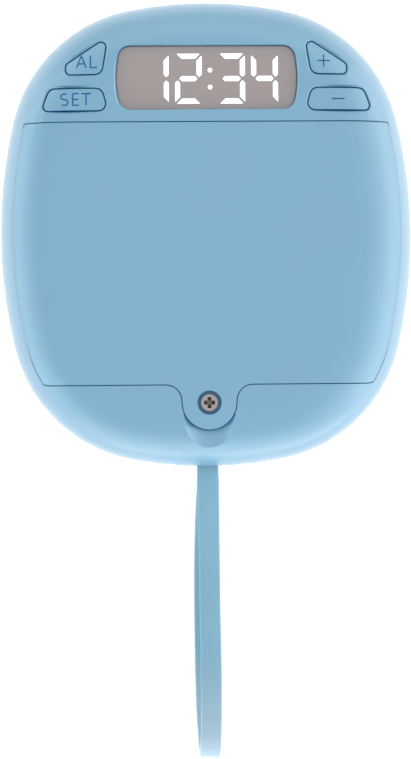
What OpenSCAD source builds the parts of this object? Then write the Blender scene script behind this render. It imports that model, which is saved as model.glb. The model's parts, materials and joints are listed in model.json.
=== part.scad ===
// Vibrating alarm clock: a rounded case with an LED display, four keys, a battery door and a wrist strap.
// Sizes are in millimetres. The case lies on its domed front, with the display and the door facing up.
// X runs across the case, Y from the strap to the display, and z = 0 is the surface that it rests on.

/* [Case] */
// Width of the case
body_w = 81.6; // [79:0.1:86]
// Length of the case, without the strap
body_l = 92.1; // [91:0.1:98]
// Height of the case
body_h = 28; // [27.5:0.5:31]
// Height of the parting line between the two housings
parting_h = 15; // [14.5:0.25:15.5]
// Radius of the long arcs at the sides of the outline
side_arc_r = 97; // [85:1:120]
// Radius of the corner arcs of the outline
corner_arc_r = 29.4; // [28:0.1:31]
// Radius of the arcs at the two ends of the outline
end_arc_r = 79; // [70:1:90]
// Wall of both housings and of the door
wall = 2; // [1.8:0.1:2.2]
// How far the rounded edge of the upper half reaches in
crown_w = 13; // [12:0.5:14]
// How far the rounded edge of the lower half reaches in
bowl_w = 15; // [13:0.5:17]

/* [Battery door] */
// Distance of the door's top seam from the display end of the case
door_top_in = 24.85; // [24.6:0.05:25.1]
// Distance of the door's bottom seam from the strap end of the case
door_bottom_in = 16.4; // [15.6:0.1:17.4]
// How far the side seam lies in from the silhouette
door_side_inset = 2.65; // [2:0.05:2.8]
// Radius of the door's lower corners
door_corner_r = 2.8; // [2:0.1:4]
// Half width and end radius of the screw tab
tab_r = 5.25; // [5:0.05:6]
// Distance of the tab's round end from the bottom seam
tab_l = 8.85; // [8.5:0.05:9.5]
// Fillet between the tab and the bottom seam
tab_fillet = 3.2; // [2:0.1:3.4]
// Gap of every seam between the door and the housing
seam = 0.2; // [0.15:0.05:0.4]

/* [Display] */
// Height of a digit
digit_h = 9.65; // [9:0.1:10.2]
// Width of a digit
digit_w = 5.15; // [4.8:0.05:5.6]
// Thickness of a segment
segment_t = 0.92; // [0.9:0.02:1.4]
// Distance of the display's middle from the display end of the case
display_in = 16.05; // [15.8:0.05:16.3]
// Height of the window opening
window_h = 12.4; // [12:0.05:12.5]
// Width of the window opening at its middle
window_w = 36.05; // [34:0.05:36.4]
// Depth of the window's face below the flat of the case
window_recess = 1.6; // [1.4:0.1:1.8]
// Radius of the rounded rim of the window opening
window_rim_r = 0.6; // [0.3:0.05:0.9]

/* [Keys] */
// Width of the upper keys
alarm_w = 7.9; // [7.5:0.1:8.6]
// Height of the upper keys
alarm_h = 7.1; // [6.5:0.1:7.6]
// Distance of the upper keys' middle from the side of the case
alarm_side_in = 17.5; // [17:0.05:17.9]
// Distance of the upper keys' middle from the display end of the case
alarm_end_in = 11.85; // [11.5:0.05:12.1]
// Width of the lower keys
set_w = 12.7; // [12.5:0.1:13.9]
// Height of the lower keys
set_h = 4.15; // [4:0.05:4.6]
// Distance of the lower keys' middle from the side of the case
set_side_in = 15.1; // [14.9:0.05:15.9]
// Distance of the lower keys' middle from the display end of the case
set_end_in = 20.4; // [20.2:0.05:20.6]
// Radius of the keys' corners
key_corner_r = 1; // [0.7:0.05:1.1]
// Travel of a key
key_travel = 0.5; // [0.3:0.05:0.6]
// Gap round each key
key_gap = 0.22; // [0.16:0.02:0.4]
// Depth of a key's face below the surface of the case
key_recess = 0.2; // [0:0.05:0.4]
// Radius of the rounded rim of each key's opening
key_rim_r = 0.4; // [0.2:0.05:0.5]

/* [Batteries] */
// Diameter of a cell
cell_d = 10.5; // [10.3:0.1:10.5]
// Length of a cell with its terminal
cell_l = 44.5; // [43.5:0.1:45]
// Free space round a cell
cell_gap = 0.25; // [0.2:0.05:0.3]

/* [Motor] */
// Diameter of the motor can
motor_d = 15.5; // [14:0.1:15.6]
// Height of the motor can over its two flats
motor_flat_h = 12; // [10:0.1:12.4]
// Length of the motor can
motor_l = 19.4; // [17:0.2:20]
// Swing radius of the eccentric weight
weight_r = 7.6; // [6:0.1:7.8]
// Length of the eccentric weight
weight_l = 8.5; // [6:0.1:9]

/* [Strap] */
// Width of the strap
strap_w = 4.2; // [3.8:0.1:4.4]
// Thickness of the strap
strap_t = 1.5; // [1.3:0.05:1.5]

/* [Hidden] */

$fn = 48;
side_x = body_w / 2;
end_y = body_l / 2;
// Overrun of every cut past the face that it opens
over = 1;
// Gap between parts that seat on each other
seat = 0.3;
// Radial clearance of a shaft or screw in its bore
running = 0.05;

// Colours
case_blue = [0.57, 0.75, 0.87];
key_blue = [0.55, 0.73, 0.86];
strap_blue = [0.52, 0.72, 0.86];
lens_grey = [0.63, 0.60, 0.59];
module_grey = [0.78, 0.78, 0.76];
lit_white = [1, 1, 1];
unlit_grey = [0.70, 0.69, 0.67];
board_green = [0.10, 0.36, 0.20];
chip_black = [0.08, 0.08, 0.09];
switch_black = [0.13, 0.13, 0.14];
plunger_tan = [0.80, 0.72, 0.55];
steel = [0.72, 0.72, 0.70];
dark_steel = [0.45, 0.44, 0.43];
nickel = [0.80, 0.79, 0.75];
tin = [0.62, 0.64, 0.66];
nylon = [0.90, 0.89, 0.84];
cell_wrap = [0.20, 0.23, 0.27];
rubber_black = [0.07, 0.07, 0.07];
wire_red = [0.75, 0.08, 0.07];
wire_black = [0.06, 0.06, 0.06];

// Vector helpers
function unit(v) = v / norm(v);
function turn_of(a, b) = a[0] * b[1] - a[1] * b[0];
function short_way(d) = d > 180 ? d - 360 : d < -180 ? d + 360 : d;

// An outline whose corners, given anticlockwise, each have their own radius, grown outward by g
corner_steps = 6;
function outline(corners, radii, g = 0) = [
    for (i = [0 : len(corners) - 1])
        let (
            n = len(corners),
            p = corners[i],
            u = unit(corners[(i + n - 1) % n] - p),
            v = unit(corners[(i + 1) % n] - p),
            bulge = turn_of(v, u) > 0 ? 1 : -1,
            half = acos(u * v) / 2,
            inward = unit(u + v),
            q = p - bulge * inward * g / sin(half),
            r = radii[i] == 0 ? 0 : radii[i] + bulge * g,
            c = q + inward * r / sin(half),
            from = q + u * r / tan(half) - c,
            to = q + v * r / tan(half) - c,
            start = atan2(from[1], from[0]),
            sweep = short_way(atan2(to[1], to[0]) - start)
        )
        each r == 0 ? [q] : [
            for (k = [0 : corner_steps])
                let (a = start + sweep * k / corner_steps)
                c + r * [cos(a), sin(a)]
        ]
];
function mirrored(pts) = [for (i = [len(pts) - 1 : -1 : 0]) [-pts[i][0], pts[i][1]]];

// Faces of a skin over rings of points that each have n points
function skin_faces(n, rings) = concat(
    [for (j = [0 : rings - 2]) for (i = [0 : n - 1])
        each [
            [j * n + i, (j + 1) * n + (i + 1) % n, j * n + (i + 1) % n],
            [j * n + i, (j + 1) * n + i, (j + 1) * n + (i + 1) % n]
        ]],
    [[for (i = [0 : n - 1]) i]],
    [[for (i = [n - 1 : -1 : 0]) (rings - 1) * n + i]]
);
module loft(rings) {
    polyhedron(points = [for (r = rings) each r], faces = skin_faces(len(rings[0]), len(rings)));
}

// A section carried along a path without twist, starting with its first axis near u0
function tangents(path) = [
    for (i = [0 : len(path) - 1])
        unit(path[min(i + 1, len(path) - 1)] - path[max(i - 1, 0)])
];
function carried(ts, u, i = 0) = i == len(ts) ? [] :
    let (w = unit(u - (u * ts[i]) * ts[i])) concat([w], carried(ts, w, i + 1));
function swept_rings(path, section, u0) =
    let (ts = tangents(path), us = carried(ts, u0))
    [for (i = [0 : len(path) - 1]) [for (s = section) path[i] + s[0] * us[i] + s[1] * cross(ts[i], us[i])]];
function round_section(d, sides) = [for (i = [0 : sides - 1]) d / 2 * [cos(360 * i / sides), sin(360 * i / sides)]];
module tube(path, d, sides, u0) {
    loft(swept_rings(path, round_section(d, sides), u0));
}

// Outline of the case: eight arcs that meet without a corner
side_cx = side_x - side_arc_r;
end_cy = end_y - end_arc_r;
side_d = side_arc_r - corner_arc_r;
end_d = end_arc_r - corner_arc_r;
centres_d = norm([side_cx, end_cy]);
along = (side_d * side_d - end_d * end_d + centres_d * centres_d) / (2 * centres_d);
across = sqrt(side_d * side_d - along * along);
corner_cx = side_cx + (-side_cx * along - end_cy * across) / centres_d;
corner_cy = (end_cy * along - side_cx * across) / centres_d;
side_turn = atan2(corner_cy, corner_cx - side_cx);
end_turn = atan2(corner_cy - end_cy, corner_cx);
side_steps = 10;
corner_arc_steps = 11;
end_steps = 6;
function arc_columns(c, r, from, to, n) = [for (i = [0 : n - 1]) [c, r, from + (to - from) * i / n]];
columns = concat(
    arc_columns([side_cx, 0], side_arc_r, -side_turn, side_turn, side_steps),
    arc_columns([corner_cx, corner_cy], corner_arc_r, side_turn, end_turn, corner_arc_steps),
    arc_columns([0, end_cy], end_arc_r, end_turn, 180 - end_turn, end_steps),
    arc_columns([-corner_cx, corner_cy], corner_arc_r, 180 - end_turn, 180 - side_turn, corner_arc_steps),
    arc_columns([-side_cx, 0], side_arc_r, 180 - side_turn, 180 + side_turn, side_steps),
    arc_columns([-corner_cx, -corner_cy], corner_arc_r, 180 + side_turn, 180 + end_turn, corner_arc_steps),
    arc_columns([0, -end_cy], end_arc_r, 180 + end_turn, 360 - end_turn, end_steps),
    arc_columns([corner_cx, -corner_cy], corner_arc_r, 360 - end_turn, 360 - side_turn, corner_arc_steps)
);
function plan(inset) = [for (c = columns) c[0] + (c[1] - inset) * [cos(c[2]), sin(c[2])]];
function ring(inset, z) = [for (p = plan(inset)) [p[0], p[1], z]];

// The rounded edges follow a superellipse, so the top stays flat before it turns down
crown_power = 2.6;
bowl_power = 2.4;
crown_h = body_h - parting_h;
bowl_h = parting_h;
function edge_in(w, depth, power, t) = depth + (w - depth) * (1 - pow(cos(t), 2 / power));
function edge_rise(h, depth, power, t) = (h - depth) * pow(sin(t), 2 / power);
outer_steps = 11;
inner_steps = 5;

// Solid upper half at a depth below the outer surface
module crown(depth, steps) {
    loft([for (k = [0 : steps])
        ring(edge_in(crown_w, depth, crown_power, 90 * k / steps),
            parting_h + edge_rise(crown_h, depth, crown_power, 90 * k / steps))]);
}
// Solid lower half at a depth below the outer surface
module bowl(depth, steps) {
    loft([for (k = [steps : -1 : 0])
        ring(edge_in(bowl_w, depth, bowl_power, 90 * k / steps),
            parting_h - edge_rise(bowl_h, depth, bowl_power, 90 * k / steps))]);
}
// Profile of the crown beside a corner arc's axis, for pieces that lie wholly on a corner
module crown_profile(depth) {
    polygon(concat(
        [[0, 0], [corner_arc_r - depth, 0]],
        [for (k = [0 : outer_steps])
            [corner_arc_r - edge_in(crown_w, depth, crown_power, 90 * k / outer_steps),
                parting_h + edge_rise(crown_h, depth, crown_power, 90 * k / outer_steps)]],
        [[0, body_h - depth]]));
}
module corner_crown(depth) {
    translate([-corner_cx, corner_cy, 0]) rotate_extrude() crown_profile(depth);
}

// Lap joint: a tongue on the lower housing stands in a rebate of the upper one
lap_in = 1.1;
lap_h = 1.2;
lap_gap = 0.15;

// Battery door
door_top_y = end_y - door_top_in;
door_bottom_y = door_bottom_in - end_y;
tab_y = door_bottom_y - tab_l + tab_r;
door_step_y = door_bottom_y + door_corner_r;
door_side_x = corner_cx + sqrt(pow(corner_arc_r - door_side_inset, 2) - pow(-door_step_y - corner_cy, 2));
door_side_z = parting_h + crown_h * pow(1 - pow(1 - door_side_inset / crown_w, crown_power), 1 / crown_power);
door_half = [
    [tab_r, door_bottom_y - tab_l],
    [tab_r, door_bottom_y],
    [door_side_x, door_bottom_y],
    [door_side_x, door_step_y],
    [body_w, door_step_y],
    [body_w, door_top_y]
];
door_half_radii = [tab_r, tab_fillet, door_corner_r, 0, 0, 0];
function reversed(list) = [for (i = [len(list) - 1 : -1 : 0]) list[i]];
module door_plan(g) {
    polygon(outline(concat(door_half, mirrored(door_half)), concat(door_half_radii, reversed(door_half_radii)), g));
}
// Hook tongues at the door's top edge
hook_w = 8;
hook_x = 18;
hook_reach = 1.35;
hook_t = 1.2;
hook_root = 1.5;
hook_drop = 0.2;
hook_swing = 1.4;
hook_side_gap = 0.4;
// Stiffening ribs on the door's inner face
door_rib_h = 0.5;
door_rib_t = 1;
door_rib_x = 12;

// Battery bay, moulded into the upper housing
bay_ledge = 0.9;
bay_rim = 1;
bay_wall = 1.5;
deck_t = 1.5;
deck_z = door_side_z - seam / 2 - seat / 2;
cell_pitch = cell_d + 2 * cell_gap;
cell_top_y = door_top_y - bay_ledge - cell_gap - cell_d / 2;
cell_ys = [cell_top_y, cell_top_y - cell_pitch, cell_top_y - 2 * cell_pitch];
cell_under_door = 0.65;
cell_z = body_h - wall - cell_under_door - cell_d / 2;
well_floor_z = cell_z - cell_d / 2 - cell_gap;
contact_room = 3.35;
contact_t = 0.4;
well_x = cell_l / 2 + contact_room + contact_t;
well_y_max = door_top_y - bay_ledge;
well_y_min = cell_ys[2] - cell_d / 2 - cell_gap;
cell_shift = 1.2;
saddle_t = 1.6;
saddle_h = 3.2;
saddle_x = 13;

// Battery cell details
nub_d = 3.8;
nub_h = 0.8;
cell_edge = 0.6;
cell_base_d = 8.4;
cell_base_h = 0.3;

// Contacts
contact_w = 8.6;
contact_h = 8;
dimple_d = 4;
dimple_top_d = 2.6;
tail_w = 3;
tail_l = 3.4;
tail_slot_gap = 0.25;
spring_wire = 0.6;
spring_base_r = 3.3;
spring_tip_r = 1.5;
spring_turns = 3;
spring_rings = 8;
spring_sides = 6;

// Screw that holds the door
door_screw_y = tab_y;
door_screw_head_d = 3.25;
door_screw_head_h = 1.5;
door_screw_sink = 0.5;
door_screw_d = 2;
door_screw_l = 4.8;
door_bore_d = 4.7;
door_sleeve_d = 6.4;
door_sleeve_t = 1.5;
door_boss_d = 6;
door_boss_bore_d = 2.6;
door_boss_l = 6.3;
recess_w = 0.75;
recess_l = 2.1;
recess_h = 0.9;
retainer_d = 3.6;
retainer_t = 0.5;
retainer_drop = 0.1;
retainer_room_d = 4.6;
retainer_room_h = 0.8;
door_seat_z = body_h - door_screw_sink - door_screw_head_h;
sleeve_z = door_seat_z - door_sleeve_t;

// Finger scoop below the tab: a trough that runs out where the case curves down
scoop_r = 7.1;
scoop_depth = 2.25;
scoop_back = 1.5;

// Window and digits
display_y = end_y - display_in;
window_bulge = 1.2;
window_side_w = window_w - 2 * window_bulge;
window_bulge_r = 20;
window_corner_r = 2.4;
window_gap = 0.1;
window_z = body_h - window_recess;
window_t = 1.5;
window_ear = 0.6;
window_ear_t = 0.5;
window_ear_w = 20;
module_w = 33.6;
module_l = 11.8;
module_gap = 0.3;
digits_x = 0.7;
digits_y = -0.17;
digit_pitch = 6.42;
colon_room = 2.02;
colon_d = 0.84;
colon_rise = 1.65;
segment_gap = 0.55;
segment_clear = 0.05;
unlit_h = 0.2;

// Keys: two outlines on the left, mirrored to the right
// The corners and the stem of a key are shares of its size from its middle
alarm_middle = [alarm_side_in - side_x, end_y - alarm_end_in];
set_middle = [set_side_in - side_x, end_y - set_end_in];
alarm_corner_shares = [[-0.5, -0.5], [0.36, -0.5], [0.5, 0.5], [-0.5, -0.23]];
alarm_radius_shares = [0.9, 1.5, 0.85, 0.9];
alarm_stem_shares = [0.03, -0.16];
set_corner_shares = [[-0.5, -0.5], [0.5, -0.49], [0.41, 0.5], [-0.38, 0.5]];
set_radius_shares = [0.9, 1.3, 1.5, 1.4];
set_stem_shares = [0, 0];
function on_key(middle, w, h, share) = middle + [w * share[0], h * share[1]];
alarm_corners = [for (s = alarm_corner_shares) on_key(alarm_middle, alarm_w, alarm_h, s)];
set_corners = [for (s = set_corner_shares) on_key(set_middle, set_w, set_h, s)];
alarm_radii = key_corner_r * alarm_radius_shares;
set_radii = key_corner_r * set_radius_shares;
alarm_at = on_key(alarm_middle, alarm_w, alarm_h, alarm_stem_shares);
set_at = on_key(set_middle, set_w, set_h, set_stem_shares);
key_flange = 0.6;
key_flange_t = 0.9;
key_stem_d = 3;

// Main board and what stands on it
board_drop = 11.3;
board_z = body_h - board_drop;
board_t = 1.6;
board_inset = 3.3;
board_gap = 0.5;
switch_w = 4.5;
switch_h = 3;
switch_plate_t = 0.3;
plunger_d = 2.4;
plunger_l = 2.5;
plunger_rise = 0.9;
plunger_room = 0.1;
chip_w = 7;
chip_t = 1.2;
crystal_d = 2;
crystal_l = 6;
crystal_x = 13;
crystal_below = 2.6;
board_screw_x = 7.5;
board_screw_in = 6.7;
board_screw_d = 1.6;
board_screw_l = 5.6;
board_screw_head_d = 3.2;
board_screw_head_h = 1.2;
board_boss_d = 4.6;
ledge_w = 4;
ledge_l = 2;
ledge_t = 1.2;
ledge_x = 6;

// Motor, its cradle and its clamp
motor_in = 22.7;
motor_rise = 11.5;
motor_start = 21;
motor_x = -motor_start;
motor_y = motor_in - end_y;
motor_z = motor_rise;
end_cap_l = 2.6;
end_cap_in = 0.4;
motor_boss_d = 5;
motor_boss_l = 1.2;
shaft_d = 2;
shaft_tail = 1.4;
weight_gap = 2.4;
weight_hub_d = 4.4;
weight_end = 0.5;
motor_tag_w = 1.6;
motor_tag_t = 0.4;
motor_tag_l = 1.8;
motor_tag_y = 4;
cradle_t = 2.4;
cradle_in = 2;
cradle_y = 8.6;
cradle_h = 3.2;
cradle_gap = 0.15;
clamp_t = 1.2;
clamp_w = 6;
clamp_foot_drop = 2.5;
clamp_foot_z = motor_z - clamp_foot_drop;
clamp_reach = 11.1;
clamp_foot_l = 5;
clamp_screw_d = 2;
clamp_screw_l = 6;
clamp_screw_head_d = 3.6;
clamp_screw_head_h = 1.2;
clamp_post_d = 5;

// Screws that join the two housings, hidden under the door
housing_screw_side_in = 9.75;
housing_screw_top_in = 7.05;
housing_screw_bottom_in = 13.1;
housing_screw_d = 2.2;
housing_screw_head_d = 4;
housing_screw_head_h = 1.6;
housing_screw_l = 12;
housing_boss_d = 5.6;
housing_boss_gap = 0.2;
housing_sink = 2;
housing_head_gap = 0.2;

// Strap: a flat band that leaves the case, folds over and comes back into the same slot
strap_slot_gap = 0.25;
strap_run_gap = 0.1;
strap_upper_z = parting_h - strap_slot_gap - strap_t / 2;
strap_lower_z = strap_upper_z - strap_t - strap_run_gap;
foot_w = 8;
foot_l = 3.2;
foot_wall_gap = 0.6;
foot_y = wall + foot_wall_gap - end_y;
foot_top_gap = 0.1;
foot_h = 3.9;
stop_w = 10;
stop_t = 1.2;
strap_edge = 0.35;
strap_route = [
    [0, foot_y, strap_upper_z], [0, -46.5, strap_upper_z], [0.1, -50, 13.8], [0.15, -56, 13.2],
    [0.2, -63, 12.6], [0.25, -70, 12.2], [0.3, -77, 12.1], [0.4, -84, 12.4],
    [0.45, -90, 12.9], [0.5, -95, 13.4], [0.5, -98.5, 13.6], [0.5, -101.3, 13], [0.45, -103.5, 11.3],
    [0.4, -104.9, 8.9], [0.3, -105.1, 6.2], [0.2, -104.1, 3.7], [0.05, -102.1, 1.8], [-0.1, -99.3, 1],
    [-0.3, -95, 0.92], [-0.45, -88, 0.92], [-0.5, -81, 0.92], [-0.5, -74, 0.92], [-0.45, -67.5, 1.1],
    [-0.35, -62, 2], [-0.25, -57.5, 4.2], [-0.15, -54, 7], [-0.05, -51.2, 9.9], [0, -48.9, 11.9],
    [0, -46.5, strap_lower_z], [0, foot_y, strap_lower_z]
];

// Wires
battery_wire_d = 1.2;
motor_wire_d = 1;
wire_sides = 8;
tail_end_z = well_floor_z - tail_l;
contact_x = well_x - contact_t / 2;
tag_end_x = motor_x - end_cap_l - motor_tag_l;
battery_red_route = [
    [contact_x, cell_ys[0], tail_end_z], [contact_x, cell_ys[0], 9.8], [25, 17, 8.8],
    [23.5, 21, 9.2], [22.5, 23.8, 11.5], [22, 24.6, 14.5], [22, 24.6, board_z]
];
battery_black_route = [
    [-contact_x, cell_ys[2], tail_end_z], [-contact_x, cell_ys[2], 9.8], [-25.4, -3, 8.8],
    [-25, 8, 8.6], [-24.2, 18, 9], [-23, 23.2, 11.3], [-22.4, 24.6, 14.5], [-22.4, 24.6, board_z]
];
motor_red_route = [
    [tag_end_x, motor_y + motor_tag_y, motor_z], [-26.4, motor_y + motor_tag_y, motor_z],
    [-27.2, -18, 9.8], [-24, -10, 8], [-19, 4, 7.6], [-16, 16, 8.2], [-14.6, 22.8, 11],
    [-14.2, 24.6, 14.5], [-14.2, 24.6, board_z]
];
motor_black_route = [
    [tag_end_x, motor_y - motor_tag_y, motor_z], [-26.4, motor_y - motor_tag_y, motor_z],
    [-27, -25, 8.6], [-25.5, -16, 6.6], [-23, -8, 6], [-17, 6, 6], [-13, 16, 7],
    [-10.9, 22.6, 10.6], [-10.4, 24.6, 14.5], [-10.4, 24.6, board_z]
];

// Space above the bay that the door fills, down to just under its inner face
module door_space() {
    difference() {
        translate([0, 0, door_side_z]) linear_extrude(body_h) door_plan(seam);
        crown(wall + seat, inner_steps);
    }
}
// Everything outside the hollow of the upper housing, with the rebate for the tongue
module crown_wall() {
    difference() {
        translate([-body_w, -body_l, parting_h]) cube([2 * body_w, 2 * body_l, body_h]);
        loft(concat(
            [ring(lap_in - lap_gap, parting_h - over), ring(lap_in - lap_gap, parting_h + lap_h + lap_gap),
                ring(wall, parting_h + lap_h + lap_gap)],
            [for (k = [1 : inner_steps])
                ring(edge_in(crown_w, wall, crown_power, 90 * k / inner_steps),
                    parting_h + edge_rise(crown_h, wall, crown_power, 90 * k / inner_steps))]));
    }
}
module at_housing_screws() {
    for (y = [door_top_y - housing_screw_top_in, door_bottom_y + housing_screw_bottom_in], s = [-1, 1])
        translate([s * (side_x - housing_screw_side_in), y, 0]) children();
}
module at_board_screws() {
    for (s = [-1, 1]) translate([s * board_screw_x, end_y - board_screw_in, 0]) children();
}
module upright(d, from, to) {
    translate([0, 0, from]) cylinder(d = d, h = to - from);
}
module key_outline(corners, radii, g) {
    linear_extrude(body_h) polygon(outline(corners, radii, g));
}
module both_sides() {
    children();
    mirror([1, 0, 0]) children();
}
window_half = [
    [window_side_w / 2, display_y - window_h / 2],
    [window_w / 2, display_y],
    [window_side_w / 2, display_y + window_h / 2]
];
window_half_radii = [window_corner_r, window_bulge_r, window_corner_r];
function window_points(g) =
    outline(concat(window_half, mirrored(window_half)), concat(window_half_radii, window_half_radii), g);
module window_outline(g) {
    polygon(window_points(g));
}
// Height of the outer surface over a point that lies on a corner arc
function crown_z(p) =
    let (share = max(0, 1 - (corner_arc_r - norm([abs(p[0]) - corner_cx, p[1] - corner_cy])) / crown_w))
    parting_h + crown_h * pow(1 - pow(share, crown_power), 1 / crown_power);
// Cuts a key's opening out to a rounded rim that follows the outer surface
rim_steps = 4;
module key_opening(corners, radii) {
    loft(concat(
        [[for (p = outline(corners, radii, key_gap)) [p[0], p[1], deck_z - deck_t]]],
        [for (k = [0 : rim_steps])
            let (a = 90 * k / rim_steps)
            [for (p = outline(corners, radii, key_gap + key_rim_r * (1 - cos(a))))
                [p[0], p[1], crown_z(p) - key_rim_r * (1 - sin(a))]]],
        [[for (p = outline(corners, radii, key_gap + key_rim_r)) [p[0], p[1], body_h + over]]]));
}
// Cuts the window opening out to a rounded rim
function window_ring(g, z) = [for (p = window_points(g)) [p[0], p[1], z]];
module window_rim() {
    loft(concat(
        [for (k = [0 : rim_steps])
            let (a = 90 * k / rim_steps)
            window_ring(window_rim_r * (1 - cos(a)), body_h - window_rim_r * (1 - sin(a)))],
        [window_ring(window_rim_r, body_h + over)]));
}

module rear_housing() {
    color(case_blue) difference() {
        union() {
            intersection() {
                crown(0, outer_steps);
                union() {
                    crown_wall();
                    // Deck under the door and the rim that its edge rests over
                    translate([0, 0, deck_z - deck_t]) linear_extrude(deck_t) door_plan(seam + bay_rim);
                    translate([0, 0, deck_z - deck_t]) linear_extrude(body_h) difference() {
                        door_plan(seam + bay_rim);
                        door_plan(-bay_ledge);
                    }
                    at_board_screws() upright(board_boss_d, board_z + board_t, body_h);
                    // Backing for the floor of the finger scoop
                    translate([0, tab_y, deck_z - deck_t])
                        cylinder(r = tab_r + seam + bay_rim + scoop_back, h = body_h);
                }
            }
            translate([-well_x - bay_wall, well_y_min - bay_wall, well_floor_z - bay_wall])
                cube([2 * (well_x + bay_wall), door_top_y + seam + bay_rim - well_y_min + bay_wall,
                    deck_z - well_floor_z + bay_wall]);
            at_housing_screws() upright(housing_boss_d, parting_h + housing_boss_gap, deck_z);
            translate([0, door_screw_y, 0]) upright(door_boss_d, sleeve_z - seat - door_boss_l, sleeve_z - seat);
            // Ledges that carry the lower edge of the board
            both_sides() for (x = [ledge_x, 3 * ledge_x])
                translate([x - ledge_w / 2, door_top_y + seam, board_z - seat - ledge_t])
                    cube([ledge_w, bay_rim + board_gap + ledge_l, ledge_t]);
        }
        door_space();
        difference() {
            translate([-well_x, well_y_min, well_floor_z])
                cube([2 * well_x, well_y_max - well_y_min, body_h]);
            cell_saddles();
        }
        // Slots for the hook tongues
        both_sides() translate([hook_x - hook_w / 2 - hook_side_gap, well_y_max - over,
                body_h - wall - hook_drop - hook_t - hook_swing])
            cube([hook_w + 2 * hook_side_gap, bay_ledge + seam + bay_rim + 2 * over,
                hook_drop + hook_t + hook_swing]);
        // Slots for the solder tails
        both_sides() for (y = [cell_ys[0], cell_ys[2]])
            translate([well_x - contact_t - tail_slot_gap, y - tail_w / 2 - tail_slot_gap,
                    well_floor_z - bay_wall - over])
                cube([contact_t + 2 * tail_slot_gap, tail_w + 2 * tail_slot_gap, bay_wall + 2 * over]);
        at_housing_screws() {
            upright(housing_screw_head_d + 2 * housing_head_gap, deck_z - housing_sink, deck_z + over);
            upright(housing_screw_d + 2 * housing_head_gap, parting_h, deck_z);
        }
        at_board_screws() upright(board_screw_d + 2 * running, board_z, board_z + board_screw_l + seat);
        translate([0, door_screw_y, 0]) {
            upright(door_sleeve_d + 2 * seam, sleeve_z - seat, body_h);
            upright(retainer_room_d, sleeve_z - retainer_room_h, sleeve_z);
            upright(door_boss_bore_d, sleeve_z - seat - door_boss_l + bay_wall, sleeve_z);
        }
        translate([0, tab_y, body_h - scoop_depth + scoop_r]) rotate([90, 0, 0]) cylinder(r = scoop_r, h = end_y);
        translate([0, 0, deck_z - deck_t]) linear_extrude(body_h) window_outline(0);
        window_rim();
        both_sides() {
            key_opening(alarm_corners, alarm_radii);
            key_opening(set_corners, set_radii);
        }
    }
}

// Scalloped ribs on the bay's floor that hold the cells apart
module cell_saddles() {
    difference() {
        both_sides() translate([saddle_x - saddle_t / 2, well_y_min - over, well_floor_z - over])
            cube([saddle_t, well_y_max - well_y_min + 2 * over, saddle_h + over]);
        for (y = cell_ys) translate([-well_x, y, cell_z]) rotate([0, 90, 0])
            cylinder(d = cell_d + 2 * cell_gap, h = 2 * well_x);
    }
}

// Plain section of the motor can: a circle with two flats
module can_section(g) {
    intersection() {
        circle(d = motor_d + 2 * g);
        square([motor_flat_h + 2 * g, motor_d + 2 * g], center = true);
    }
}
// Places a section drawn across the motor's axis, with its first axis pointing down
module on_motor(x) {
    translate([x, motor_y, motor_z]) rotate([0, 90, 0]) children();
}

module front_housing() {
    color(case_blue) difference() {
        intersection() {
            union() {
                bowl(0, outer_steps);
                translate([0, 0, parting_h - over]) linear_extrude(lap_h + over) polygon(plan(lap_in));
            }
            union() {
                difference() {
                    translate([-body_w, -body_l, 0]) cube([2 * body_w, 2 * body_l, body_h]);
                    bowl(wall, inner_steps);
                    translate([0, 0, parting_h - over]) linear_extrude(body_h) polygon(plan(wall));
                }
                at_housing_screws() upright(housing_boss_d, 0, parting_h);
                for (x = [motor_x + cradle_in, motor_x + motor_l - cradle_in - cradle_t])
                    translate([x, motor_y - cradle_y, 0]) cube([cradle_t, 2 * cradle_y, motor_z - cradle_h]);
                for (s = [-1, 1]) translate([motor_x + motor_l / 2, motor_y + s * clamp_reach, 0])
                    upright(clamp_post_d, 0, clamp_foot_z - seat);
                translate([-stop_w / 2, foot_y + foot_l + seat, 0]) cube([stop_w, stop_t, parting_h - foot_top_gap]);
            }
        }
        on_motor(motor_x - over) linear_extrude(motor_l + 2 * over) can_section(cradle_gap);
        at_housing_screws() upright(housing_screw_d + 2 * running,
            deck_z - housing_sink - housing_screw_l - seat, parting_h + over);
        for (s = [-1, 1]) translate([motor_x + motor_l / 2, motor_y + s * clamp_reach, 0])
            upright(clamp_screw_d + 2 * running, clamp_foot_z + clamp_t - clamp_screw_l - seat, clamp_foot_z);
        // Slot for the strap, open towards the upper housing
        translate([-strap_w / 2 - strap_slot_gap, -end_y - over,
                strap_lower_z - strap_t / 2 - strap_slot_gap])
            cube([strap_w + 2 * strap_slot_gap, wall + foot_wall_gap + over, body_h]);
    }
}

module battery_door() {
    color(case_blue) difference() {
        union() {
            difference() {
                intersection() {
                    crown(0, outer_steps);
                    translate([0, 0, door_side_z + seam]) linear_extrude(body_h) door_plan(0);
                }
                crown(wall, inner_steps);
            }
            translate([0, door_screw_y, 0]) upright(door_sleeve_d, sleeve_z, door_seat_z);
            both_sides() {
                translate([hook_x - hook_w / 2, door_top_y - hook_root, body_h - wall - hook_drop - hook_t])
                    cube([hook_w, hook_root, hook_t + hook_drop + wall / 2]);
                translate([hook_x - hook_w / 2, door_top_y - hook_root, body_h - wall - hook_drop - hook_t])
                    cube([hook_w, hook_root + hook_reach, hook_t]);
                translate([door_rib_x - door_rib_t / 2, cell_ys[2] - cell_d / 2, body_h - wall - door_rib_h])
                    cube([door_rib_t, cell_ys[0] - cell_ys[2], door_rib_h + wall / 2]);
            }
        }
        translate([0, door_screw_y, 0]) {
            upright(door_bore_d, door_seat_z, body_h + over);
            upright(door_screw_d + 2 * running, sleeve_z - over, body_h);
        }
    }
}

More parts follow.
